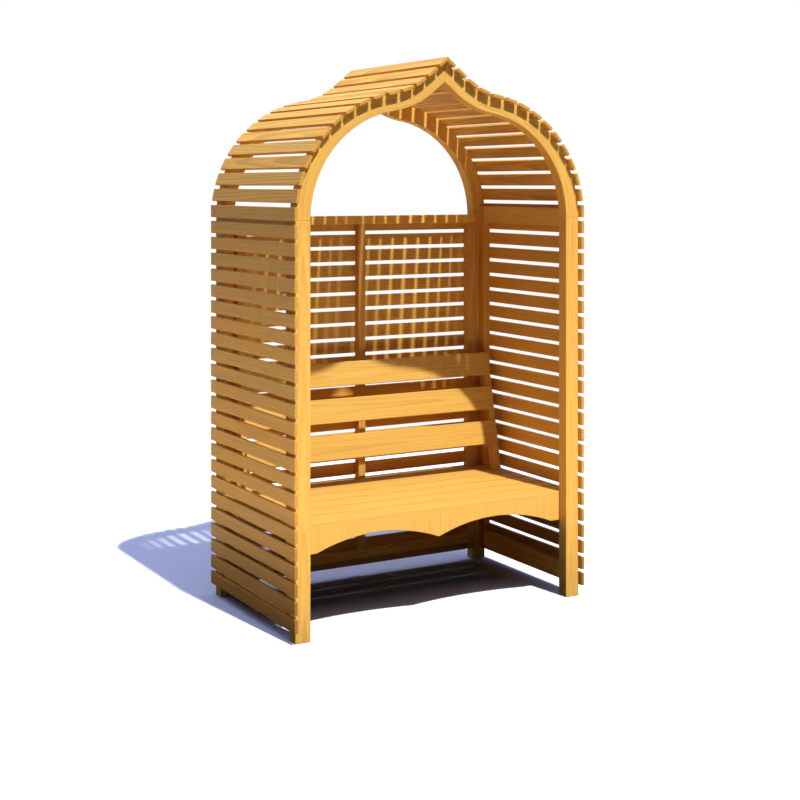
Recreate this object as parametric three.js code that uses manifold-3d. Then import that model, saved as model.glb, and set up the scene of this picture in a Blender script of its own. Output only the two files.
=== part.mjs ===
// Timber arbour seat: a bench for two under an ogee slatted arch.
// Millimetres, +Z up, the open front faces -Y, the ground is at zero.
import * as THREE from 'three';
import { mergeVertices } from 'three/addons/utils/BufferGeometryUtils.js';
import Module from 'manifold-3d';

const wasm = await Module();
wasm.setup();

// Gap left where a piece rests on a sloping or curved neighbour.
const restGap = 0.3;

// Four corner posts.
const frameWidth = 1178;
const frameDepth = 690;
const postWidth = 57;
const postDepth = 47;
const postHeight = 1422;

// Ogee arch ribs, drawn on their inner edge: a round shoulder, a reverse
// sweep, then a straight run up to the point.
const ribWidth = postWidth;
const ribDepth = postDepth;
const shoulderTurn = THREE.MathUtils.degToRad(81.05);
const sweepRadius = 344;
const peakStraight = 57.6;
const peakSlope = THREE.MathUtils.degToRad(39);
const shoulderSteps = 20;
const sweepSteps = 12;

// Slats.
const slatWidth = 46;
const slatThickness = 12;
const slatGap = 14;
const slatOverhang = 20;
const lowestSlat = 42;
const roofSlatCount = 14;
const backSlatClearance = 1;
const countingShare = 0.01;

// Side panel framing, inside the slats.
const sideFrameThickness = 30;
const sideStileFront = 30;
const sideStileBack = 39;
const sidePanelBottom = 50;
const sidePanelRise = 34;
const sideTopRailHeight = 68;
const sideBottomRailHeight = 70;

// Back panel framing. The panel stands between the posts, slats to the back.
const backPanelSetback = 24;
const backFrameDepth = 33;
const backStileWidth = 40;
const centreStileWidth = 30;
const backPanelTop = postHeight;
const backTopRailHeight = 33;
const backBottomRailHeight = 33;
const backBottomRailRise = 35;
const backStileRise = 10;

// Seat.
const seatFrontSetback = 40;
const seatHeight = 391;
const seatEndClearance = 2;
const seatBoardThickness = 14;
const seatBoardPitch = 99;
const seatBoardGap = 6;

// Scalloped apron under the front edge of the seat.
const apronThickness = 20;
const apronHeight = 93.5;
const apronEndFlat = 40;
const scallopRise = 47;
const scallopSteps = 16;

// Bearers under the seat.
const bearerHeight = 50;
const sideBearerLap = 27;
const centreBearerWidth = 44;

// Backrest. Its lower front edge is placed from the back face and the seat.
const rakeSlope = 0.214;
const rakeFootMargin = 207.1;
const rakeFootRise = 111.5;
const backBoardThickness = 14;
const backBoardWidth = 92;
const backBoardPitch = 138;
const backBoardCount = 3;
const backBoardEndClearance = 11;
const backSupportWidth = 25;
const backSupportDepth = 44;
const backSupportTopMargin = 11;

const timber = { color: 0xe2ab55, roughness: 0.62, metalness: 0 };
const slatTimber = { color: 0xdca24c, roughness: 0.64, metalness: 0 };
const seatTimber = { color: 0xe6b25c, roughness: 0.6, metalness: 0 };

const arbour = new THREE.Group();
arbour.name = 'arbour_seat';

// Planes that several pieces share.
const postOuter = frameWidth / 2;
const postInner = postOuter - postWidth;
const frontFace = -frameDepth / 2;
const backFace = frameDepth / 2;
const frontPostBack = frontFace + postDepth;
const backPostFront = backFace - postDepth;
const slatOuter = postOuter + slatThickness;
const slatLength = frameDepth + slatOverhang + slatOverhang;
const slatPitch = slatWidth + slatGap;
const backPanelBack = backFace - backPanelSetback;
const backSlatFront = backPanelBack - slatThickness;
const backPanelFront = backSlatFront - backFrameDepth;
const sideFrameInner = postOuter - sideFrameThickness;
const sidePanelTop = postHeight + sidePanelRise;

// The side slats run up past the posts to about the end of the side panels.
// The back slats stop one gap below the tops of the posts.
const sideSlatCount = 1 + Math.round((sidePanelTop - lowestSlat - slatWidth) / slatPitch);
const backSlatRoom = postHeight - slatGap - lowestSlat - slatWidth;
const backSlatCount = 1 + Math.floor(backSlatRoom / slatPitch + countingShare);

function addPiece(name, geometry, looks) {
  const material = new THREE.MeshStandardMaterial(looks);
  const mesh = new THREE.Mesh(geometry, material);
  mesh.name = name;
  arbour.add(mesh);
  return mesh;
}

// A block between two corners.
function block(x0, x1, y0, y1, z0, z1) {
  const geometry = new THREE.BoxGeometry(x1 - x0, y1 - y0, z1 - z0);
  geometry.translate((x0 + x1) / 2, (y0 + y1) / 2, (z0 + z1) / 2);
  return geometry;
}

function outlineShape(points) {
  return new THREE.Shape(points.map(([a, b]) => new THREE.Vector2(a, b)));
}

// An outline drawn in X and Z, carried along Y.
function prismAlongY(points, y0, y1) {
  const options = { depth: y1 - y0, bevelEnabled: false };
  const geometry = new THREE.ExtrudeGeometry(outlineShape(points), options);
  geometry.rotateX(Math.PI / 2);
  geometry.translate(0, y1, 0);
  return geometry;
}

// An outline drawn in Y and Z, carried along X.
function prismAlongX(points, x0, x1) {
  const options = { depth: x1 - x0, bevelEnabled: false };
  const geometry = new THREE.ExtrudeGeometry(outlineShape(points), options);
  geometry.rotateZ(Math.PI / 2);
  geometry.rotateY(Math.PI / 2);
  geometry.translate(x0, 0, 0);
  return geometry;
}

// An outline drawn in X and Y, carried up along Z.
function prismAlongZ(points, z0, z1) {
  const options = { depth: z1 - z0, bevelEnabled: false };
  const geometry = new THREE.ExtrudeGeometry(outlineShape(points), options);
  geometry.translate(0, 0, z0);
  return geometry;
}

function asManifold(geometry) {
  const bare = geometry.clone();
  bare.deleteAttribute('normal');
  bare.deleteAttribute('uv');
  const merged = mergeVertices(bare);
  const vertProperties = new Float32Array(merged.attributes.position.array);
  const triVerts = new Uint32Array(merged.index.array);
  const mesh = new wasm.Mesh({ numProp: 3, vertProperties, triVerts });
  return new wasm.Manifold(mesh);
}

// Joins blocks into one solid.
function joined(geometries) {
  let solid = asManifold(geometries[0]);
  for (const geometry of geometries.slice(1)) {
    solid = solid.add(asManifold(geometry));
  }
  const mesh = solid.getMesh();
  const geometry = new THREE.BufferGeometry();
  const position = new THREE.BufferAttribute(mesh.vertProperties, 3);
  geometry.setAttribute('position', position);
  geometry.setIndex(new THREE.BufferAttribute(mesh.triVerts, 1));
  geometry.computeVertexNormals();
  return geometry;
}

// Left and right pieces are built on +X and mirrored by their X values.
const sides = [
  { name: 'left', sign: -1 },
  { name: 'right', sign: 1 },
];

function blockOnSide(sign, x0, x1, y0, y1, z0, z1) {
  return block(Math.min(sign * x0, sign * x1), Math.max(sign * x0, sign * x1), y0, y1, z0, z1);
}

// Corner posts.
for (const side of sides) {
  const front = blockOnSide(side.sign, postInner, postOuter, frontFace, frontPostBack, 0, postHeight);
  addPiece(`post_front_${side.name}`, front, timber);
  const back = blockOnSide(side.sign, postInner, postOuter, backPostFront, backFace, 0, postHeight);
  addPiece(`post_back_${side.name}`, back, timber);
}

// The shoulder's radius is what brings the inner edge from the post to the
// point, with the sweep and the straight run at their own sizes.
const sweepReach = sweepRadius * (Math.cos(shoulderTurn) - Math.sin(peakSlope));
const shoulderSpan = postInner + sweepReach - peakStraight * Math.cos(peakSlope);
const shoulderRadius = shoulderSpan / (1 - Math.cos(shoulderTurn));

// Places on the +X half of the ogee. A run is measured along the outer edge.
const shoulderCentreX = postInner - shoulderRadius;
const shoulderOuter = shoulderRadius + ribWidth;
const sweepOuter = sweepRadius - ribWidth;
const sweepStart = Math.PI / 2 - shoulderTurn;
const sweepCentreX = shoulderCentreX + (shoulderRadius + sweepRadius) * Math.cos(shoulderTurn);
const sweepCentreZ = postHeight + (shoulderRadius + sweepRadius) * Math.sin(shoulderTurn);
const shoulderRun = shoulderOuter * shoulderTurn;
const sweepRun = sweepOuter * (peakSlope - sweepStart);
const sweepEndX = sweepCentreX - sweepOuter * Math.sin(peakSlope);
const sweepEndZ = sweepCentreZ - sweepOuter * Math.cos(peakSlope);
const peakRun = sweepEndX / Math.cos(peakSlope);
const outerRun = shoulderRun + sweepRun + peakRun;

function shoulderPoint(angle, radius) {
  return [shoulderCentreX + radius * Math.cos(angle), postHeight + radius * Math.sin(angle)];
}

function sweepPoint(slope, radius) {
  return [sweepCentreX - radius * Math.sin(slope), sweepCentreZ - radius * Math.cos(slope)];
}

function outerPoint(run) {
  if (run <= shoulderRun) {
    return shoulderPoint(run / shoulderOuter, shoulderOuter);
  }
  if (run <= shoulderRun + sweepRun) {
    return sweepPoint(sweepStart + (run - shoulderRun) / sweepOuter, sweepOuter);
  }
  const rest = Math.min(run - shoulderRun - sweepRun, peakRun);
  const x = sweepEndX - rest * Math.cos(peakSlope);
  return [Math.max(x, 0), sweepEndZ + rest * Math.sin(peakSlope)];
}

// The roof slats share the outer edge evenly, from the top side slat to the
// point of the arch. Each slat has a flat seat on the ribs, and the mitred
// ridge slat is as wide on its top face as the others.
const sideSlatTop = lowestSlat + (sideSlatCount - 1) * slatPitch + slatWidth;
const firstRoofRun = sideSlatTop - postHeight + slatGap;
const ridgeSeat = slatWidth - (slatThickness + restGap) * Math.tan(peakSlope);
const roofPitch = (outerRun - ridgeSeat - firstRoofRun) / (roofSlatCount - 1);
const roofSeats = [];
for (let i = 0; i < roofSlatCount; i += 1) {
  const start = firstRoofRun + i * roofPitch;
  const last = i === roofSlatCount - 1;
  const low = outerPoint(start);
  const high = last ? outerPoint(outerRun) : outerPoint(start + slatWidth);
  roofSeats.push({ low, high, last });
}

// Rib outline on the +X side: up the outer edge over the slat seats, down
// the mitre at the point, then back along the smooth inner edge.
const ribOutline = [[postOuter, postHeight], outerPoint(sideSlatTop - postHeight)];
for (const seat of roofSeats) {
  ribOutline.push(seat.low, seat.high);
}
const innerStraightX = sweepCentreX - sweepRadius * Math.sin(peakSlope);
const innerStraightZ = sweepCentreZ - sweepRadius * Math.cos(peakSlope);
ribOutline.push([0, innerStraightZ + innerStraightX * Math.tan(peakSlope)]);
for (let i = sweepSteps; i > 0; i -= 1) {
  const slope = sweepStart + ((peakSlope - sweepStart) * i) / sweepSteps;
  ribOutline.push(sweepPoint(slope, sweepRadius));
}
for (let i = shoulderSteps; i > 0; i -= 1) {
  ribOutline.push(shoulderPoint((shoulderTurn * i) / shoulderSteps, shoulderRadius));
}
ribOutline.push([postInner, postHeight]);

// Mirrored outlines run the other way round, which keeps them the same way up.
function onSide(sign, points) {
  return points.map(([x, z]) => [sign * x, z]);
}

for (const side of sides) {
  const outline = onSide(side.sign, ribOutline);
  addPiece(`rib_front_${side.name}`, prismAlongY(outline, frontFace, frontFace + ribDepth), timber);
  addPiece(`rib_back_${side.name}`, prismAlongY(outline, backFace - ribDepth, backFace), timber);
}

// A corner of a slat's seat lifted square off it. At the ridge the corner
// runs on to the middle plane, which mitres the top pair of slats.
function lifted(corner, seat, height) {
  const runX = seat.high[0] - seat.low[0];
  const runZ = seat.high[1] - seat.low[1];
  const length = Math.hypot(runX, runZ);
  const x = corner[0] + (runZ / length) * height;
  const z = corner[1] - (runX / length) * height;
  if (seat.last && corner === seat.high) {
    return [0, z + (x * runZ) / -runX];
  }
  return [x, z];
}

// Roof slats. The top pair is mitred where it meets at the ridge.
for (const side of sides) {
  roofSeats.forEach((seat, i) => {
    const corners = [
      lifted(seat.low, seat, restGap),
      lifted(seat.low, seat, restGap + slatThickness),
      lifted(seat.high, seat, restGap + slatThickness),
      lifted(seat.high, seat, restGap),
    ];
    const section = onSide(side.sign, corners);
    const slat = prismAlongY(section, -slatLength / 2, slatLength / 2);
    const number = String(i + 1).padStart(2, '0');
    addPiece(`roof_slat_${side.name}_${number}`, slat, slatTimber);
  });
}

// Side panels: slats joined to two stiles, with a rail at top and bottom.
const frontStileBack = frontPostBack + sideStileFront;
const backStileFront = backPostFront - sideStileBack;
for (const side of sides) {
  const solids = [
    blockOnSide(side.sign, sideFrameInner, postOuter, frontPostBack, frontStileBack,
      sidePanelBottom, sidePanelTop),
    blockOnSide(side.sign, sideFrameInner, postOuter, backStileFront, backPostFront,
      sidePanelBottom, sidePanelTop),
  ];
  for (let i = 0; i < sideSlatCount; i += 1) {
    const bottom = lowestSlat + i * slatPitch;
    solids.push(blockOnSide(side.sign, postOuter, slatOuter, -slatLength / 2, slatLength / 2,
      bottom, bottom + slatWidth));
  }
  addPiece(`side_slats_${side.name}`, joined(solids), slatTimber);
  const topRail = blockOnSide(side.sign, sideFrameInner, postOuter, frontStileBack, backStileFront,
    sidePanelTop - sideTopRailHeight, sidePanelTop);
  addPiece(`side_top_rail_${side.name}`, topRail, timber);
  const bottomRail = blockOnSide(side.sign, sideFrameInner, postOuter, frontStileBack,
    backStileFront, sidePanelBottom, sidePanelBottom + sideBottomRailHeight);
  addPiece(`side_bottom_rail_${side.name}`, bottomRail, timber);
}

// Back panel between the posts: slats joined to two stiles and a centre
// upright, with a rail at top and bottom. The arch above it stays open.
const backRailUnder = backPanelTop - backTopRailHeight;
const backStileInner = postInner - backStileWidth;
const backSlatHalf = postInner - backSlatClearance;
const lowRailBottom = lowestSlat + backBottomRailRise;
const lowRailTop = lowRailBottom + backBottomRailHeight;
const backSolids = [
  block(-centreStileWidth / 2, centreStileWidth / 2, backPanelFront, backSlatFront,
    lowRailTop, backRailUnder),
];
for (const side of sides) {
  backSolids.push(blockOnSide(side.sign, backStileInner, postInner, backPanelFront,
    backSlatFront, lowestSlat + backStileRise, backRailUnder));
}
for (let i = 0; i < backSlatCount; i += 1) {
  const bottom = lowestSlat + i * slatPitch;
  backSolids.push(block(-backSlatHalf, backSlatHalf, backSlatFront, backPanelBack,
    bottom, bottom + slatWidth));
}
addPiece('back_slats', joined(backSolids), slatTimber);
addPiece('back_top_rail', block(-postInner, postInner, backPanelFront, backSlatFront,
  backRailUnder, backPanelTop), timber);
addPiece('back_bottom_rail', block(-backStileInner, backStileInner, backPanelFront, backSlatFront,
  lowRailBottom, lowRailTop), timber);

// Seat boards, level. The last one takes up what is left in front of the
// back panel. They reach the side slats and are notched round the front
// posts and the stiles.
const seatFront = frontFace + seatFrontSetback;
const seatHalf = postInner - seatEndClearance;
const seatUnder = seatHeight - seatBoardThickness;
const seatBoardCount = Math.round((backPanelFront - seatFront) / seatBoardPitch);
const seatReaches = [
  { until: frontPostBack + seatEndClearance, half: seatHalf },
  { until: frontStileBack + seatEndClearance, half: sideFrameInner - seatEndClearance },
  { until: backStileFront - seatEndClearance, half: postOuter - seatEndClearance },
  { until: backPanelFront, half: sideFrameInner - seatEndClearance },
];

function seatPlan(y0, y1) {
  const edge = [];
  let start = y0;
  for (const reach of seatReaches) {
    const end = Math.min(reach.until, y1);
    if (end > start) {
      edge.push([reach.half, start], [reach.half, end]);
      start = end;
    }
  }
  return [...edge, ...onSide(-1, edge).reverse()];
}

for (let i = 0; i < seatBoardCount; i += 1) {
  const y0 = seatFront + i * seatBoardPitch;
  const last = i === seatBoardCount - 1;
  const y1 = last ? backPanelFront : y0 + seatBoardPitch - seatBoardGap;
  addPiece(`seat_board_${i + 1}`, prismAlongZ(seatPlan(y0, y1), seatUnder, seatHeight), seatTimber);
}

// Apron: two scallops that meet in a point at the centre, under the boards.
const apronBack = seatFront + apronThickness;
const apronBottom = seatUnder - apronHeight;
const scallopHalf = (seatHalf - apronEndFlat) / 2;
const scallopRadius = (scallopHalf * scallopHalf + scallopRise * scallopRise) / (2 * scallopRise);
const scallopHalfAngle = Math.asin(scallopHalf / scallopRadius);

function scallop(centre) {
  const points = [];
  for (let i = 0; i <= scallopSteps; i += 1) {
    const angle = scallopHalfAngle * ((2 * i) / scallopSteps - 1);
    const x = centre + scallopRadius * Math.sin(angle);
    const drop = scallopRadius * (1 - Math.cos(angle));
    points.push([x, apronBottom + scallopRise - drop]);
  }
  return points;
}

const apronOutline = [
  [-seatHalf, apronBottom],
  ...scallop(-scallopHalf),
  ...scallop(scallopHalf).slice(1),
  [seatHalf, apronBottom],
  [seatHalf, seatUnder],
  [-seatHalf, seatUnder],
];
addPiece('seat_apron', prismAlongY(apronOutline, seatFront, apronBack), seatTimber);

// Bearers under the boards. The side bearers run from post to post and are
// notched round the ends of the apron and the stiles of the back panel.
const bearerInner = postInner - sideBearerLap;
const bearerBottom = seatUnder - bearerHeight;
for (const side of sides) {
  const plan = onSide(side.sign, [
    [bearerInner, apronBack],
    [postInner, apronBack],
    [postInner, frontPostBack],
    [sideFrameInner, frontPostBack],
    [sideFrameInner, backPostFront],
    [postInner, backPostFront],
    [postInner, backPanelFront],
    [bearerInner, backPanelFront],
  ]);
  addPiece(`seat_bearer_${side.name}`, prismAlongZ(plan, bearerBottom, seatUnder), timber);
}
addPiece('seat_bearer_centre', block(-centreBearerWidth / 2, centreBearerWidth / 2, apronBack,
  backPanelFront, bearerBottom, seatUnder), timber);

// Backrest, raked back. A point at a distance up the rake and behind the
// front faces of the boards:
const rakeAngle = Math.atan(rakeSlope);
const rakeY = backFace - rakeFootMargin;
const rakeFootHeight = seatHeight + rakeFootRise;
const backBoardHalfLength = sideFrameInner - backBoardEndClearance;

function rakePoint(up, behind) {
  return [
    rakeY + up * Math.sin(rakeAngle) + behind * Math.cos(rakeAngle),
    rakeFootHeight + up * Math.cos(rakeAngle) - behind * Math.sin(rakeAngle),
  ];
}

for (let i = 0; i < backBoardCount; i += 1) {
  const low = i * backBoardPitch;
  const high = low + backBoardWidth;
  const section = [
    rakePoint(low, 0),
    rakePoint(low, backBoardThickness),
    rakePoint(high, backBoardThickness),
    rakePoint(high, 0),
  ];
  const board = prismAlongX(section, -backBoardHalfLength, backBoardHalfLength);
  addPiece(`backrest_board_${i + 1}`, board, seatTimber);
}

// Two raked supports stand on the seat behind the ends of the boards. Their
// heads lie against the stiles of the side panels.
function rakeAtHeight(z, behind) {
  const up = (z - rakeFootHeight + behind * Math.sin(rakeAngle)) / Math.cos(rakeAngle);
  return rakePoint(up, behind);
}

const supportFront = backBoardThickness + restGap;
const supportBack = supportFront + backSupportDepth;
const boardsTop = rakePoint((backBoardCount - 1) * backBoardPitch + backBoardWidth, 0)[1];
const supportTop = boardsTop - backSupportTopMargin;
const supportSection = [
  rakeAtHeight(seatHeight, supportFront),
  rakeAtHeight(seatHeight, supportBack),
  rakeAtHeight(supportTop, supportBack),
  rakeAtHeight(supportTop, supportFront),
];
for (const side of sides) {
  const ends = [side.sign * (sideFrameInner - backSupportWidth), side.sign * sideFrameInner];
  const support = prismAlongX(supportSection, Math.min(...ends), Math.max(...ends));
  addPiece(`backrest_support_${side.name}`, support, timber);
}

export default arbour;
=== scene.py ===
import math
import random

import bpy
from mathutils import Matrix, Vector


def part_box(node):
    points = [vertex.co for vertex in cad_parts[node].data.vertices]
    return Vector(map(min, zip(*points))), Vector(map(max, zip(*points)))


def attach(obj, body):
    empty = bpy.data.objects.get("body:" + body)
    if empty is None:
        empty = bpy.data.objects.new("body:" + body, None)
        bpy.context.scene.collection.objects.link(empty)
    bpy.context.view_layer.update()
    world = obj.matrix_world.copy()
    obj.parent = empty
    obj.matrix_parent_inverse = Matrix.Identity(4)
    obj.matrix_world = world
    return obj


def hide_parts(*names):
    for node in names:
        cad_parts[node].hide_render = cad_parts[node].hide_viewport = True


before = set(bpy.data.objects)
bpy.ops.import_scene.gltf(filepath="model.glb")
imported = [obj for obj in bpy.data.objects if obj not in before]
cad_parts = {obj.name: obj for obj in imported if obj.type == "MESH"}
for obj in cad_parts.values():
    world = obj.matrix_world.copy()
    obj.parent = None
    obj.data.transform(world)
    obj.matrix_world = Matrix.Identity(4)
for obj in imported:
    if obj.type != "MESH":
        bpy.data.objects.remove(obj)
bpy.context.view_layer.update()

# The view: a level camera at the height of a standing person's eyes, five metres off the open front and
# thirty degrees round to its left. The frame is shifted down, so that every post stays upright in it.
view = bpy.data.cameras.new("view")
view.sensor_width = 36
view.lens = 65.19
view.shift_y = -0.269
camera = bpy.data.objects.new("camera", view)
camera.location = (-2.70191, -4.73803, 1.54399)
camera.rotation_euler = (math.radians(90), 0, math.radians(-29.816))
bpy.context.collection.objects.link(camera)
bpy.context.scene.camera = camera
bpy.context.scene.view_settings.view_transform = "Standard"

# Daylight: a high sun in front of the seat and a soft blue sky, brightest overhead. The sky is plain white
# where the camera or a reflection meets it.
sun = bpy.data.lights.new("sun", "SUN")
sun.energy = 5.0
sun.angle = math.radians(1.0)
sun.color = (1.0, 0.985, 0.89)
sun_height = math.radians(60.5)
sun_side = math.radians(6.0)
sunlight = bpy.data.objects.new("sunlight", sun)
to_sun = Vector((
    math.sin(sun_side) * math.cos(sun_height),
    -math.cos(sun_side) * math.cos(sun_height),
    math.sin(sun_height),
))
sunlight.rotation_euler = to_sun.to_track_quat("Z", "Y").to_euler()
bpy.context.collection.objects.link(sunlight)

sky_colour = (0.96, 1.16, 1.74, 1)
sky_strength = 1.25
sky = bpy.data.worlds.new("sky")
bpy.context.scene.world = sky
sky.use_nodes = True
sky.node_tree.nodes.clear()


class Wire:
    """One socket among a material's nodes. Sums and products of wires and numbers add Math nodes."""

    def __init__(self, tree, socket=None):
        self.tree = tree
        self.socket = socket

    def node(self, kind, settings, sockets, out=0):
        made = self.tree.nodes.new(kind)
        for key, value in settings.items():
            if key == "stops":
                stops = made.color_ramp.elements
                while len(stops) < len(value):
                    stops.new(1)
                for stop, (place, level) in zip(stops, value):
                    stop.position = place
                    stop.color = (level, level, level, 1)
            else:
                setattr(made, key, value)
        for key, value in sockets.items():
            if isinstance(value, Wire):
                self.tree.links.new(value.socket, made.inputs[key])
            else:
                made.inputs[key].default_value = value
        return Wire(self.tree, made.outputs[out] if made.outputs else None)

    def math(self, operation, *others):
        values = (self, *others)
        return self.node("ShaderNodeMath", {"operation": operation}, dict(enumerate(values)))

    def __add__(self, other):
        return self.math("ADD", other)

    def __sub__(self, other):
        return self.math("SUBTRACT", other)

    def __rsub__(self, other):
        return self.math("MULTIPLY", -1.0).math("ADD", other)

    def __mul__(self, other):
        return self.math("MULTIPLY", other)

    def __truediv__(self, other):
        return self.math("DIVIDE", other)

    __radd__ = __add__
    __rmul__ = __mul__


air = Wire(sky.node_tree)
seen = air.node("ShaderNodeLightPath", {}, {}, "Is Camera Ray")
shone = air.node("ShaderNodeLightPath", {}, {}, "Is Glossy Ray")
passed = air.node("ShaderNodeLightPath", {}, {}, "Is Transmission Ray")
facing = air.node("ShaderNodeTexCoord", {}, {}, "Generated")
height = air.node("ShaderNodeSeparateXYZ", {}, {"Vector": facing}, "Z")
up = height.math("MAXIMUM", 0.0)
overhead = sky_strength * up * up * up * up
sky_light = air.node("ShaderNodeBackground", {}, {"Color": sky_colour, "Strength": overhead})
white = air.node("ShaderNodeBackground", {}, {"Color": (1, 1, 1, 1), "Strength": 1.0})
either = (seen + shone + passed).math("MINIMUM", 1.0)
dome = air.node("ShaderNodeMixShader", {}, {0: either, 1: sky_light, 2: white})
air.node("ShaderNodeOutputWorld", {}, {"Surface": dome})

# The floor: a wide pale plane, white where the sun falls on it, which keeps the seat's shadow. Under the seat
# its colour is darkened as painted shade. Most of the light it throws back comes from a band a step away,
# more of it from the sides.
seat_half_width = 0.6
seat_half_depth = 0.36
floor_radius = 3.2
floor_sides = 96
paving_colour = (0.80, 0.81, 0.95, 1)
under_seat_shade_colour = (0.17, 0.23, 0.35, 1)
thrown_colour = (3.1, 2.54, 1.80)
front_share = 0.75
least_distance = 0.001
band_start = (0.5, 0.95)
band_end = (1.0, 1.4)
under_seat_shade_front = (-0.14, 0.06)
under_seat_shade_back = (0.20, 0.36)
under_seat_shade_side = (0.44, 0.62)
bpy.ops.object.select_all(action="DESELECT")
bpy.ops.mesh.primitive_circle_add(vertices=floor_sides, radius=floor_radius, fill_type="NGON")
floor = bpy.context.object
floor.name = "floor"
paving = bpy.data.materials.new("pale_floor")
paving.use_nodes = True
paving.node_tree.nodes.clear()
slab = Wire(paving.node_tree)


def rise(value, limits):
    """From 0 at the first limit to 1 at the second, without a crease."""
    return slab.node(
        "ShaderNodeMapRange",
        {"interpolation_type": "SMOOTHSTEP"},
        {"Value": value, "From Min": limits[0], "From Max": limits[1]},
    )


direct = slab.node("ShaderNodeLightPath", {}, {}, "Is Camera Ray")
spot = slab.node("ShaderNodeTexCoord", {}, {}, "Object")
sideways = slab.node("ShaderNodeSeparateXYZ", {}, {"Vector": spot}, "X").math("ABSOLUTE")
backwards = slab.node("ShaderNodeSeparateXYZ", {}, {"Vector": spot}, "Y")
# Painted shade: the floor's colour turns dark blue-grey under the seat.
under_seat_shade = (
    rise(backwards, under_seat_shade_front) * (1.0 - rise(backwards, under_seat_shade_back)) * (1.0 - rise(sideways, under_seat_shade_side))
)
ground = slab.node(
    "ShaderNodeMix",
    {"data_type": "RGBA"},
    {0: under_seat_shade, 6: paving_colour, 7: under_seat_shade_colour},
    2,
)
shown = slab.node("ShaderNodeBsdfDiffuse", {}, {"Color": ground})
beside = (sideways - seat_half_width).math("MAXIMUM", 0.0)
behind = (backwards.math("ABSOLUTE") - seat_half_depth).math("MAXIMUM", 0.0)
away = (beside * beside + behind * behind).math("SQRT")
fuller_beside = front_share + (1 - front_share) * beside / (away + least_distance)
band = (rise(away, band_start) - rise(away, band_end)) * fuller_beside
glow = slab.node("ShaderNodeVectorMath", {"operation": "SCALE"}, {0: thrown_colour, "Scale": band})
thrown = slab.node("ShaderNodeBsdfDiffuse", {}, {"Color": glow})
surface = slab.node("ShaderNodeMixShader", {}, {0: direct, 1: thrown, 2: shown})
slab.node("ShaderNodeOutputMaterial", {}, {"Surface": surface})
floor.data.materials.append(paving)

# Corner posts: four squared lengths of softwood, 57 by 47 mm, that stand on the ground and carry everything.
# They are planed, their long edges are taken off with a plane, and the whole seat is stained honey brown.
post_edge = 0.002
edge_steps = 2
end_skin = 0.0002
joint_skin = 0.001
log_taper = 0.011
ring_sway = 0.014
ground_shade_height = 0.5
grain_relief = 0.0005
late_wood = ((0, 0.05), (0.35, 0.12), (0.8, 0.85), (0.92, 1.0), (1, 0.05))
warm_tint = (1.02, 0.95, 0.86)
log_length = 9
heart_aside = 0.03
heart_below = (0.035, 0.08)
corner_angle = math.radians(30)


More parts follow.
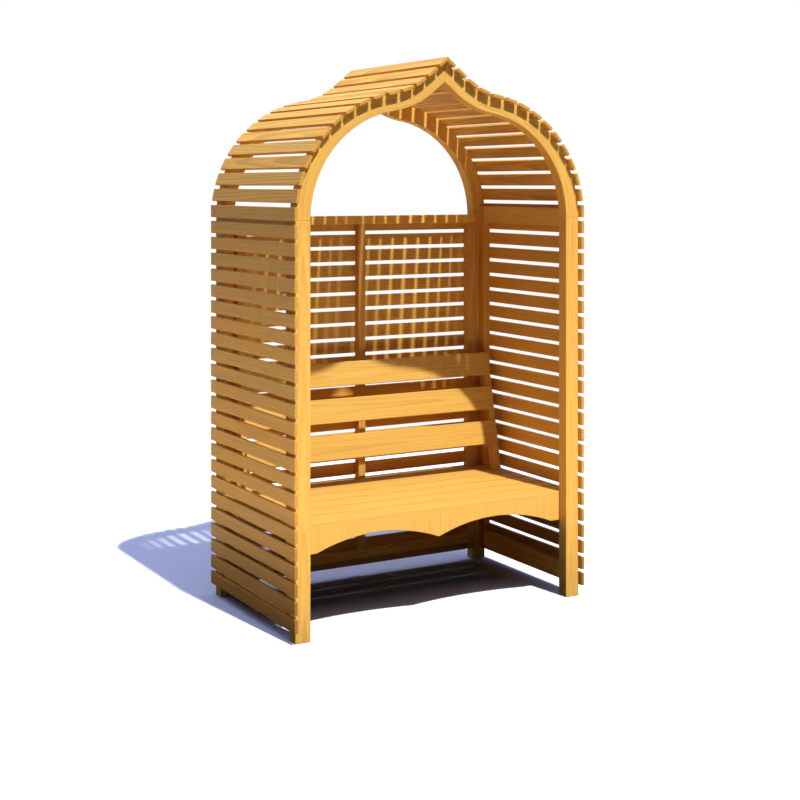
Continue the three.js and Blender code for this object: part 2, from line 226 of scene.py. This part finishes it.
def timber(name, pale, dark, ring_width=0.0042, ring_depth=0.4, lines=0.35, ground_shade=0.0):
    """Planed and stained softwood. Its figure is cut from growth rings round the heart of the log, so it
    runs down each board's faces and shows as arcs on its ends. It can be darkened towards the ground as
    painted shade."""
    material = bpy.data.materials.new(name)
    material.use_nodes = True
    material.node_tree.nodes.clear()
    wood = Wire(material.node_tree)
    figure = wood.node("ShaderNodeAttribute", {"attribute_name": "figure"}, {}, "Vector")
    tone = wood.node("ShaderNodeAttribute", {"attribute_name": "tone"}, {}, "Fac")
    end = wood.node("ShaderNodeAttribute", {"attribute_name": "end"}, {}, "Fac")

    def cloud(stretch, scale, detail, rough=0.5):
        """Soft noise, drawn out along the grain."""
        place = wood.node(
            "ShaderNodeVectorMath", {"operation": "MULTIPLY"}, {0: figure, 1: (stretch, 1, 1)}
        )
        return wood.node(
            "ShaderNodeTexNoise",
            {"noise_dimensions": "3D"},
            {"Vector": place, "Scale": scale, "Detail": detail, "Roughness": rough},
        )

    along = wood.node("ShaderNodeSeparateXYZ", {}, {"Vector": figure}, "X")
    across = wood.node("ShaderNodeSeparateXYZ", {}, {"Vector": figure}, "Y")
    deep = wood.node("ShaderNodeSeparateXYZ", {}, {"Vector": figure}, "Z")
    sway = cloud(0.06, 22, 2) - 0.5
    radius = (across * across + deep * deep).math("SQRT")
    rings = (radius + log_taper * along + ring_sway * sway) / ring_width
    year = rings.math("FRACT")
    late = wood.node("ShaderNodeValToRGB", {"stops": late_wood}, {"Fac": year})
    fibre = cloud(0.012, 900, 3, 0.6)
    streak = cloud(0.018, 120, 3, 0.6)
    patch = cloud(0.25, 9, 2)
    above = wood.node("ShaderNodeTexCoord", {}, {}, "Object")
    height = wood.node("ShaderNodeSeparateXYZ", {}, {"Vector": above}, "Z")
    # Painted shade: the timber is darkened towards the ground.
    ground_shade_mix = wood.node(
        "ShaderNodeMapRange",
        {"interpolation_type": "SMOOTHSTEP"},
        {"Value": height, "From Max": ground_shade_height, "To Min": ground_shade, "To Max": 0.0},
    )
    # A small end mark darkens end grain; the large one on the seat boards' gap edges is painted shade.
    dark_part = late * ring_depth * (0.55 + 0.9 * patch) / (1.0 + end) + 0.2 * end + ground_shade_mix
    stained = wood.node(
        "ShaderNodeMix",
        {"data_type": "RGBA", "clamp_factor": True},
        {0: dark_part, 6: (*pale, 1), 7: (*dark, 1)},
        2,
    )
    level = 0.87 - 0.5 * lines + 0.16 * fibre + lines * streak + 0.1 * patch + 0.05 * tone
    lit = wood.node("ShaderNodeVectorMath", {"operation": "SCALE"}, {0: stained, "Scale": level})
    warm = wood.node("ShaderNodeVectorMath", {"operation": "MULTIPLY"}, {0: lit, 1: warm_tint})
    colour = wood.node(
        "ShaderNodeMix",
        {"data_type": "RGBA", "clamp_factor": True},
        {0: 0.5 + 0.5 * tone, 6: lit, 7: warm},
        2,
    )
    relief = wood.node(
        "ShaderNodeBump",
        {},
        {"Strength": 0.35, "Distance": grain_relief, "Height": fibre + 0.5 * late},
    )
    board = wood.node(
        "ShaderNodeBsdfPrincipled",
        {},
        {
            "Base Color": colour,
            "Roughness": 0.5 + 0.2 * fibre - 0.06 * late + 0.1 * end,
            "Normal": relief,
            "Specular IOR Level": 0.35,
        },
    )
    wood.node("ShaderNodeOutputMaterial", {}, {"Surface": board})
    return material


def only(piece):
    """Selects one piece and nothing else."""
    bpy.ops.object.select_all(action="DESELECT")
    piece.select_set(True)
    bpy.context.view_layer.objects.active = piece


def sawn(name, low, high):
    """A squared length of timber between two corners."""
    bpy.ops.object.select_all(action="DESELECT")
    low, high = Vector(low), Vector(high)
    bpy.ops.mesh.primitive_cube_add(size=1, location=(low + high) / 2, scale=high - low)
    bpy.ops.object.transform_apply(location=True, rotation=True, scale=True)
    piece = bpy.context.object
    piece.name = piece.data.name = name
    return piece


def ease(piece, width, sharp=lambda place: False):
    """Takes the sharp edges off, apart from those whose two ends are both called sharp."""
    only(piece)
    bpy.ops.object.mode_set(mode="EDIT")
    bpy.ops.mesh.select_mode(type="EDGE")
    bpy.ops.mesh.select_all(action="DESELECT")
    bpy.ops.mesh.edges_select_sharp(sharpness=corner_angle)
    bpy.ops.object.mode_set(mode="OBJECT")
    for edge in piece.data.edges:
        ends = [piece.data.vertices[n].co for n in edge.vertices]
        if edge.select and all(sharp(place) for place in ends):
            edge.select = False
    bpy.ops.object.mode_set(mode="EDIT")
    bpy.ops.mesh.bevel(offset=width, segments=edge_steps, affect="EDGES")
    bpy.ops.object.mode_set(mode="OBJECT")


def marks(piece):
    """Three new attributes of a board: where a point lies in the log, the board's tone, and its end grain,
    which on the seat boards' gap edges carries painted shade.
    """
    piece.data.attributes.new("figure", "FLOAT_VECTOR", "POINT")
    piece.data.attributes.new("tone", "FLOAT", "POINT")
    piece.data.attributes.new("end", "FLOAT", "POINT")
    return [piece.data.attributes[name] for name in ("figure", "tone", "end")]


def lay_grain(piece, along, across, seed, joint=lambda place: False):
    """Writes how far each point lies along, across and through its board, from the heart of the log. Both
    ends show end grain, apart from one that joint says is covered."""
    chance = random.Random(seed)
    corners = [Vector(corner) for corner in piece.bound_box]
    middle = sum(corners, Vector()) / 8
    along, across = Vector(along).normalized(), Vector(across).normalized()
    through = along.cross(across)
    reach = [(v.co - middle).dot(along) for v in piece.data.vertices]
    start = chance.uniform(0, log_length)
    heart = (
        chance.uniform(-heart_aside, heart_aside),
        chance.choice((-1, 1)) * chance.uniform(*heart_below),
    )
    tint = chance.uniform(-1, 1)
    figure, tone, end = marks(piece)
    for n, vertex in enumerate(piece.data.vertices):
        place = vertex.co - middle
        figure.data[n].vector = (
            reach[n] + start, place.dot(across) + heart[0], place.dot(through) + heart[1]
        )
        tone.data[n].value = tint
        at_end = abs(reach[n]) > max(reach) - end_skin
        end.data[n].value = 1.0 if at_end and not joint(vertex.co) else 0.0


def fit(piece, finish, slot, *nodes):
    """Finishes a piece and puts it in the place of its solids."""
    piece.data.materials.clear()
    piece.data.materials.append(finish)
    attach(piece, "root")
    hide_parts(*nodes)


frame_stain = timber("frame_timber", (0.86, 0.52, 0.122), (0.60, 0.285, 0.054))
post_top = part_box("post_front_left")[1].z


def under_rib(place):
    """Whether a point of a post lies in its joint with the rib."""
    return place.z > post_top - joint_skin


for number, post in enumerate(("front_left", "front_right", "back_left", "back_right")):
    piece = sawn(post + "_post", *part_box("post_" + post))
    ease(piece, post_edge, under_rib)
    lay_grain(piece, (0, 0, 1), (1, 0, 0), 10 + number, under_rib)
    fit(piece, frame_stain, "frame_timber", "post_" + post)

# Arch ribs: four softwood timbers of the posts' own section, bent to an ogee, so that their grain follows the
# curve. Each stands on a post, swings in over the shoulder, sweeps up and meets its twin in a mitre.
shoulder_centre = Vector((0.148, 0, 1.422))
shoulder_inside = 0.384
shoulder_turn = math.radians(81.05)
sweep_inside = 0.344
peak_slope = math.radians(39)
peak_reach = 0.16
rib_width = 0.057
same_place = 0.00001
turn_tolerance = 0.0001
rib_heart_aside = 0.02
rib_heart_below = (0.04, 0.07)
shoulder_steps = 40
sweep_steps = 18
sweep_turn = peak_slope - (math.pi / 2 - shoulder_turn)
shoulder_end = Vector((math.cos(shoulder_turn), 0, math.sin(shoulder_turn)))
sweep_centre = shoulder_centre + shoulder_end * (shoulder_inside + sweep_inside)
uphill = Vector((-math.cos(peak_slope), 0, math.sin(peak_slope)))


def curved_rib(name, node):
    """A right-hand rib, drawn as its foot swept round the two curves and on to the mitre."""
    low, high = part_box(node)
    depth = high.y - low.y
    bpy.ops.object.select_all(action="DESELECT")
    foot = (high.x - rib_width / 2, (low.y + high.y) / 2, low.z)
    bpy.ops.mesh.primitive_plane_add(size=1, location=foot)
    piece = bpy.context.object
    piece.name = piece.data.name = name
    piece.scale = (rib_width, depth, 1)
    bpy.ops.object.transform_apply(location=True, rotation=True, scale=True)
    bpy.ops.object.mode_set(mode="EDIT")
    bpy.ops.mesh.select_mode(type="FACE")
    bpy.ops.mesh.select_all(action="SELECT")
    bpy.ops.mesh.spin(steps=shoulder_steps, angle=shoulder_turn, center=shoulder_centre, axis=(0, 1, 0))
    bpy.ops.mesh.spin(steps=sweep_steps, angle=-sweep_turn, center=sweep_centre, axis=(0, 1, 0))
    bpy.ops.mesh.extrude_region_move(TRANSFORM_OT_translate={"value": uphill * peak_reach})
    bpy.ops.mesh.select_all(action="SELECT")
    bpy.ops.mesh.bisect(
        plane_co=(low.x, 0, 0), plane_no=(1, 0, 0), use_fill=True, clear_inner=True
    )
    bpy.ops.mesh.select_all(action="SELECT")
    bpy.ops.mesh.remove_doubles(threshold=same_place)
    bpy.ops.mesh.normals_make_consistent(inside=False)
    bpy.ops.object.mode_set(mode="OBJECT")
    return piece


def on_post(place):
    """Whether a point of a rib lies in its joint with the post."""
    return place.z < post_top + joint_skin


def follow_rib(piece, seed):
    """The figure of a rib, bent with it, so that the grain follows the two curves and the straight end."""
    chance = random.Random(seed)
    start = chance.uniform(0, log_length)
    heart = (chance.uniform(-rib_heart_aside, rib_heart_aside), chance.uniform(*rib_heart_below))
    tint = chance.uniform(-0.5, 0.5)
    middle = sum(v.co.y for v in piece.data.vertices) / len(piece.data.vertices)
    shoulder_middle = shoulder_inside + rib_width / 2
    sweep_middle = sweep_inside - rib_width / 2
    figure, tone, end = marks(piece)
    for n, vertex in enumerate(piece.data.vertices):
        place = Vector((vertex.co.x, 0, vertex.co.z))
        from_shoulder = place - shoulder_centre
        turn = math.atan2(from_shoulder.z, from_shoulder.x)
        along = shoulder_middle * turn
        across = from_shoulder.length - shoulder_middle
        if turn > shoulder_turn + turn_tolerance:
            from_sweep = place - sweep_centre
            begun = math.atan2(-shoulder_end.z, -shoulder_end.x)
            turn = min((begun - math.atan2(from_sweep.z, from_sweep.x)) % (2 * math.pi), sweep_turn)
            out = Vector((math.cos(begun - turn), 0, math.sin(begun - turn)))
            on = Vector((out.z, 0, -out.x))
            along = shoulder_middle * shoulder_turn + sweep_middle * turn + from_sweep.dot(on)
            across = sweep_middle - from_sweep.dot(out)
        figure.data[n].vector = (along + start, across + heart[0], vertex.co.y - middle + heart[1])
        tone.data[n].value = tint


for number, end in enumerate(("front", "back")):
    right = curved_rib(end + "_right_rib", "rib_" + end + "_right")
    left = right.copy()
    left.data = right.data.copy()
    left.name = left.data.name = end + "_left_rib"
    bpy.context.collection.objects.link(left)
    ease(right, post_edge, on_post)
    ease(left, post_edge, on_post)
    follow_rib(right, 20 + number)
    follow_rib(left, 30 + number)
    left.data.transform(Matrix.Scale(-1, 4, (1, 0, 0)))
    left.data.flip_normals()
    for piece, side in ((right, "right"), (left, "left")):
        fit(piece, frame_stain, "frame_timber", "rib_" + end + "_" + side)

# Roof slats: twenty-eight narrow boards, 46 by 12 mm, nailed over both pairs of ribs with a finger's gap
# between them. They run out past the ribs front and back, and the top two are mitred at the ridge.
roof_slat_count = 14
slat_edge = 0.0012
flat_angle = math.radians(0.5)


def planed(node, name):
    """The solid of one board, with its loose faces joined and its flat faces made whole."""
    piece = bpy.data.objects.new(name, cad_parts[node].data.copy())
    bpy.context.collection.objects.link(piece)
    only(piece)
    bpy.ops.object.mode_set(mode="EDIT")
    bpy.ops.mesh.select_all(action="SELECT")
    bpy.ops.mesh.remove_doubles(threshold=same_place)
    bpy.ops.mesh.dissolve_limited(angle_limit=flat_angle)
    bpy.ops.mesh.customdata_custom_splitnormals_clear()
    bpy.ops.object.mode_set(mode="OBJECT")
    return piece


# The slats' timber is darkened towards the ground as painted shade.
slat_stain = timber("slat_timber", (0.78, 0.435, 0.088), (0.42, 0.19, 0.032), 0.0065, 0.6, 0.5, 0.9)
for side in ("left", "right"):
    for number in range(1, roof_slat_count + 1):
        node = f"roof_slat_{side}_{number:02d}"
        piece = planed(node, node + "_board")
        ease(piece, slat_edge)
        low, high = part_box(node)
        lean = Vector((high.x - low.x, 0, (high.z - low.z) * (1 if side == "left" else -1)))
        lay_grain(piece, (0, 1, 0), lean, 100 * (side == "right") + number)
        fit(piece, slat_stain, "slat_timber", node)

# Side slats: twenty-four boards of the same stock down each side, nailed across the outer face of the posts
# at an even pitch. Two upright stiles inside them stand against the posts and close the panel's edges.
side_slat_count = 24
slat_pitch = 0.060
slat_height = 0.046
slat_thick = 0.012
stile_bottom = 0.050
stile_front = 0.030
stile_back = 0.039
stile_edge = 0.0015


def slatted(name, low, high, count, along, seed):
    """A row of equal slats one above another, each with a figure of its own, joined in one piece."""
    first = sawn("first", low, high)
    ease(first, slat_edge)
    slats = []
    for number in range(count):
        slat = first.copy()
        slat.data = first.data.copy()
        slat.data.transform(Matrix.Translation((0, 0, number * slat_pitch)))
        bpy.context.collection.objects.link(slat)
        lay_grain(slat, along, (0, 0, 1), seed + number)
        slats.append(slat)
    bpy.data.objects.remove(first)
    only(slats[0])
    for slat in slats:
        slat.select_set(True)
    bpy.ops.object.join()
    panel = bpy.context.object
    panel.name = panel.data.name = name
    return panel


for side in ("left", "right"):
    node = "side_slats_" + side
    low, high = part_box(node)
    outside = low.x if side == "left" else high.x
    inside = outside + (slat_thick if side == "left" else -slat_thick)
    panel = slatted(
        side + "_side_slats",
        (min(outside, inside), low.y, low.z),
        (max(outside, inside), high.y, low.z + slat_height),
        side_slat_count,
        (0, 1, 0),
        340 if side == "right" else 300,
    )
    fit(panel, slat_stain, "slat_timber", node)
    post_inner_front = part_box("post_front_" + side)[1].y
    post_inner_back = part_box("post_back_" + side)[0].y
    deep_edge = low.x if side == "right" else high.x
    stile_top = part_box("side_top_rail_" + side)[1].z
    stiles = (
        ("_front_stile", post_inner_front, post_inner_front + stile_front),
        ("_back_stile", post_inner_back - stile_back, post_inner_back),
    )
    for number, (name, near, far) in enumerate(stiles):
        piece = sawn(
            side + name,
            (min(deep_edge, inside), near, stile_bottom),
            (max(deep_edge, inside), far, stile_top),
        )
        ease(piece, stile_edge)
        lay_grain(piece, (0, 0, 1), (0, 1, 0), 400 + 10 * (side == "right") + number)
        # The stiles take the slats' darker stain rather than the frame's, as painted shade behind the slats.
        fit(piece, slat_stain, "frame_timber", node)

# Side rails: a broad rail at the head and one at the foot of each side panel, in softwood stained like the
# posts. They are held between the two stiles, and the slats are nailed over them.
rail_edge = 0.0015
for number, place in enumerate(("top_rail_left", "top_rail_right", "bottom_rail_left", "bottom_rail_right")):
    node = "side_" + place
    piece = sawn(node + "_board", *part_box(node))
    ease(piece, rail_edge)
    lay_grain(piece, (0, 1, 0), (0, 0, 1), 420 + number)
    fit(piece, frame_stain, "frame_timber", node)

# Back slats: twenty-three boards across the back of the seat, between the back posts. They are nailed from
# behind to a stile beside each post and to one upright in the middle, whose darker stain is painted shade.
back_slat_count = 23
back_slat_play = 0.001
centre_half = 0.015
back_stile_foot = 0.052
low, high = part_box("back_slats")
panel = slatted(
    "back_slats_boards",
    (low.x + back_slat_play, high.y - slat_thick, low.z),
    (high.x - back_slat_play, high.y, low.z + slat_height),
    back_slat_count,
    (1, 0, 0),
    500,
)
fit(panel, slat_stain, "slat_timber", "back_slats")
rail_low, rail_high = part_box("back_top_rail")
foot_low, foot_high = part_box("back_bottom_rail")
uprights = (
    ("back_left_stile", rail_low.x, foot_low.x, back_stile_foot),
    ("back_right_stile", foot_high.x, rail_high.x, back_stile_foot),
    ("back_centre_upright", -centre_half, centre_half, foot_high.z),
)
# Painted shade: a darker copy of the timber for the back uprights and the backrest supports.
shaded_panel_stain = timber("shaded_panel_timber", (0.68, 0.38, 0.088), (0.46, 0.20, 0.036))
for number, (name, near, far, foot) in enumerate(uprights):
    piece = sawn(name, (near, low.y, foot), (far, high.y - slat_thick, rail_low.z))
    ease(piece, stile_edge)
    lay_grain(piece, (0, 0, 1), (1, 0, 0), 540 + number)
    fit(piece, shaded_panel_stain, "frame_timber", "back_slats")

# Back rails: two softwood rails stained like the posts. The top one lies on the heads of the stiles, level
# with the posts. The foot rail is held between the stiles and carries the middle upright.
for number, node in enumerate(("back_top_rail", "back_bottom_rail")):
    piece = sawn(node + "_board", *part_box(node))
    ease(piece, rail_edge)
    lay_grain(piece, (1, 0, 0), (0, 0, 1), 560 + number)
    fit(piece, frame_stain, "frame_timber", node)

# Seat bearers: three softwood rails on edge under the seat, one screwed to each pair of side posts and one
# from the apron to the back panel. They carry the seat boards.
for number, node in enumerate(("seat_bearer_left", "seat_bearer_right", "seat_bearer_centre")):
    piece = planed(node, node + "_rail")
    ease(piece, rail_edge)
    lay_grain(piece, (0, 1, 0), (0, 0, 1), 570 + number)
    fit(piece, frame_stain, "frame_timber", node)

# Seat boards: six wide softwood boards laid level on the bearers, a thin drainage gap between them. They stop
# just short of the side slats and are notched round the posts and stiles. Their edges along the gaps are
# darkened as painted shade.
# Painted shade: the seat's timber is a darker copy of the frame's, so that sunlit tops render no brighter.
shaded_seat_stain = timber("seat_timber", (0.64, 0.395, 0.090), (0.46, 0.237, 0.041), 0.0048, 0.4, 0.4)
seat_board_count = 6
seat_edge = 0.0034
seat_front_edge = 0.0012
seat_face_depth = 0.003
seat_skin = 0.0005
gap_shade = 5.0
seat_front, seat_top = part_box("seat_board_1")[0].y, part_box("seat_board_1")[1].z
for number in range(1, seat_board_count + 1):
    node = f"seat_board_{number}"
    piece = planed(node, node + "_plank")
    ease(piece, seat_front_edge if number == 1 else seat_edge)
    lay_grain(piece, (1, 0, 0), (0, 1, 0), 580 + number)
    # Painted shade: every point below the top face, apart from the first board's front, darkens the gap
    # edges.
    for n, vertex in enumerate(piece.data.vertices):
        if vertex.co.z < seat_top - seat_skin and vertex.co.y > seat_front + seat_face_depth:
            piece.data.attributes["end"].data[n].value = gap_shade
    fit(piece, shaded_seat_stain, "seat_timber", node)
    # The first board's front face keeps the frame's lighter stain; the rest of it takes the painted-shade
    # copy.
    if number == 1:
        piece.data.materials.append(frame_stain)
        for face in piece.data.polygons:
            if face.normal.y < -0.5 and face.center.y < seat_front + seat_face_depth:
                face.material_index = 1

# Apron: the softwood board under the front of the seat, between the front posts. Its lower edge is sawn in
# two shallow scallops that meet in a point, and its grain stands upright.
apron_edge = 0.0012
piece = planed("seat_apron", "scalloped_apron")
ease(piece, apron_edge)
lay_grain(piece, (0, 0, 1), (1, 0, 0), 590)
fit(piece, frame_stain, "seat_timber", "seat_apron")

# Backrest: three broad boards of the seat's darker, painted-shade timber on two raked supports that
# stand on the seat. The heads of the supports lie against the stiles of the side panels. The supports'
# darker stain is painted shade too.
rake = 0.214
back_board_count = 3
back_edge = 0.002
for number in range(1, back_board_count + 1):
    node = f"backrest_board_{number}"
    piece = planed(node, node + "_plank")
    ease(piece, back_edge)
    lay_grain(piece, (1, 0, 0), (0, rake, 1), 600 + number)
    fit(piece, shaded_seat_stain, "seat_timber", node)
for number, side in enumerate(("left", "right")):
    node = "backrest_support_" + side
    piece = planed(node, node + "_post")
    ease(piece, rail_edge)
    lay_grain(piece, (0, rake, 1), (1, 0, 0), 610 + number)
    fit(piece, shaded_panel_stain, "frame_timber", node)
